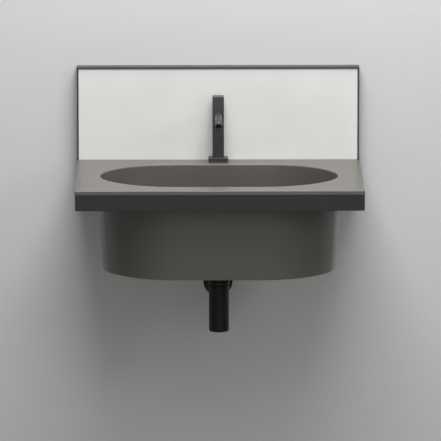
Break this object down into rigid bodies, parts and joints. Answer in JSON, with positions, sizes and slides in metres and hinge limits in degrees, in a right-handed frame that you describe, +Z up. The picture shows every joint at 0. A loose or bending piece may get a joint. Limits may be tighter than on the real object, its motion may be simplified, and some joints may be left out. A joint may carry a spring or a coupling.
{
  "type": "wall-hung basin",
  "caption": "Wall-hung rectangular basin with a deep oval bowl, dark apron frame, white splashback, square single-lever tap, click waste and bottle trap.",
  "frame": {"origin": "midway between the two wall fixing holes, on the face of the wall", "axes": "+X along the wall, to the right for someone facing the basin; +Y into the wall; +Z up"},
  "size_m": [0.75, 0.53, 0.6616],
  "materials": {
    "basin_stone": "cast quartz composite, warm grey, satin matt",
    "frame_coat": "charcoal powder coat, fine matt",
    "steel": "zinc plated or stainless",
    "brass": "machined",
    "board_white": "white satin laminate",
    "edge_coat": "dark grey powder coat",
    "aluminium": "mill finish extrusion",
    "plastic_grey": "moulded",
    "rubber_black": "moulded seal",
    "silicone_grey": "sealant bead",
    "tap_coat": "gunmetal satin coat",
    "aerator_plastic": "moulded black",
    "cartridge_plastic": "moulded",
    "cartridge_brass": "machined",
    "waste_coat": "black satin coat on brass",
    "trap_coat": "black satin coat on brass"
  },
  "bodies": {
    "basin_unit": {"basin": "basin_stone", "front_rail": "frame_coat", "left_rail": "frame_coat", "right_rail": "frame_coat", "wall_rail": "frame_coat", "frame_brackets": "steel", "frame_screws": "steel", "deck_screws": "steel", "cleat_screws": "steel", "tap_clamp_plate": "steel", "deck_inserts": "brass", "tap_shank": "brass", "tap_nut": "brass", "panel_board": "board_white", "panel_top_edge": "edge_coat", "panel_left_edge": "edge_coat", "panel_right_edge": "edge_coat", "edge_corner_keys": "aluminium", "panel_cleat": "aluminium", "wall_cleat": "aluminium", "panel_spacers": "plastic_grey", "click_housing": "plastic_grey", "tap_gasket": "rubber_black", "tap_washer": "rubber_black", "waste_top_seal": "rubber_black", "waste_bottom_seal": "rubber_black", "trap_union_seal": "rubber_black", "trap_collar_seal": "rubber_black", "trap_cup_seal": "rubber_black", "outlet_seal": "rubber_black", "panel_foot_seal": "silicone_grey", "tap_base": "tap_coat", "tap_column": "tap_coat", "tap_spout": "tap_coat", "spout_aerator": "aerator_plastic", "cartridge_body": "cartridge_plastic", "cartridge_ring": "cartridge_brass", "waste_body": "waste_coat", "waste_nut": "waste_coat", "trap_union_nut": "trap_coat", "trap_collar_nut": "trap_coat", "trap_body": "trap_coat", "trap_cup": "trap_coat", "trap_dip_tube": "trap_coat", "outlet_nut": "trap_coat", "outlet_pipe": "trap_coat", "wall_rosette": "trap_coat"},
    "tap_swivel": {"cartridge_swivel": "cartridge_plastic", "swivel_pin": "steel"},
    "tap_lever": {"tap_handle": "tap_coat", "tap_stem": "steel", "handle_screw": "steel"},
    "plug": {"waste_plug": "waste_coat", "plug_seal": "rubber_black", "plug_stem": "steel"}
  },
  "joints": [
    {"name": "handle_turn", "type": "hinge", "parent": "basin_unit", "child": "tap_swivel", "pos_m": [0, -0.06, 0.18825], "axis": [0, 0, 1], "range_deg": [-40, 40]},
    {"name": "handle_lift", "type": "hinge", "parent": "tap_swivel", "child": "tap_lever", "pos_m": [0, -0.06, 0.18825], "axis": [-1, 0, 0], "range_deg": [0, 15]},
    {"name": "plug_slide", "type": "slide", "parent": "basin_unit", "child": "plug", "axis": [0, 0, 1], "range_m": [0, 0.008]}
  ]
}
